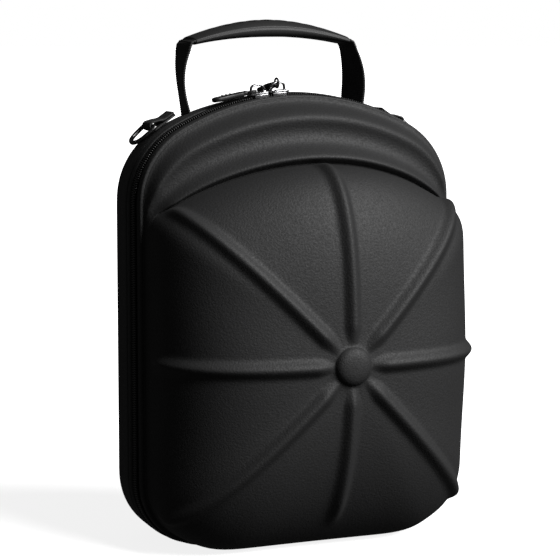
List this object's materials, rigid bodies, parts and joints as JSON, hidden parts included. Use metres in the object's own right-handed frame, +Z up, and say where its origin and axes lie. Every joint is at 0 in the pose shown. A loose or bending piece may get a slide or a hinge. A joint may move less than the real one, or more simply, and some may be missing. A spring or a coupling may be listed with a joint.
{
  "type": "baseball cap carrier case",
  "caption": "Hard moulded zip case for baseball caps, its front shaped like a cap crown and brim, with a carry handle and shoulder rings.",
  "frame": {"origin": "under the middle of the whole case's box, on the surface that it stands on", "axes": "+Z up, the cap face looks along -Y, +X to the right seen from the front"},
  "size_m": [0.217, 0.1516, 0.3315],
  "materials": {
    "eva_fabric": "matte black fine-woven cloth laminated on moulded EVA",
    "zip_tape": "black woven polyester tape",
    "zip_coil": "black nylon coil",
    "slider_metal": "gunmetal plated slider",
    "pull_rubber": "black moulded pull",
    "grip_rubber": "satin black moulded grip",
    "webbing": "black ribbed polypropylene webbing",
    "ring_metal": "black nickel plated wire"
  },
  "bodies": {
    "case": {"front_shell": "eva_fabric", "rear_shell": "eva_fabric", "zip_tape_front": "zip_tape", "zip_tape_rear": "zip_tape", "zip_coil": "zip_coil", "hinge_strip": "zip_tape", "zip_slider_left": "slider_metal", "zip_slider_right": "slider_metal", "handle_grip": "grip_rubber", "handle_strap_left": "webbing", "handle_strap_right": "webbing", "ring_tab_left": "webbing", "ring_tab_right": "webbing"},
    "pull_left": {"zip_pull_left": "pull_rubber"},
    "pull_right": {"zip_pull_right": "pull_rubber"},
    "ring_left": {"d_ring_left": "ring_metal"},
    "ring_right": {"d_ring_right": "ring_metal"}
  },
  "joints": [
    {"name": "zip_pull_left_swing", "type": "hinge", "parent": "case", "child": "pull_left", "pos_m": [-0.025, 0.02075, 0.28689], "axis": [0, 1, 0], "range_deg": [0, 95]},
    {"name": "zip_pull_right_swing", "type": "hinge", "parent": "case", "child": "pull_right", "pos_m": [-0.00996, 0.02075, 0.29207], "axis": [0.9984, 0, 0.0565], "range_deg": [0, 180]},
    {"name": "d_ring_left_swing", "type": "hinge", "parent": "case", "child": "ring_left", "pos_m": [-0.0866, 0.04575, 0.26517], "axis": [0, 1, 0], "range_deg": [0, 100]},
    {"name": "d_ring_right_swing", "type": "hinge", "parent": "case", "child": "ring_right", "pos_m": [0.0866, 0.04575, 0.26517], "axis": [0, -1, 0], "range_deg": [0, 100]}
  ]
}
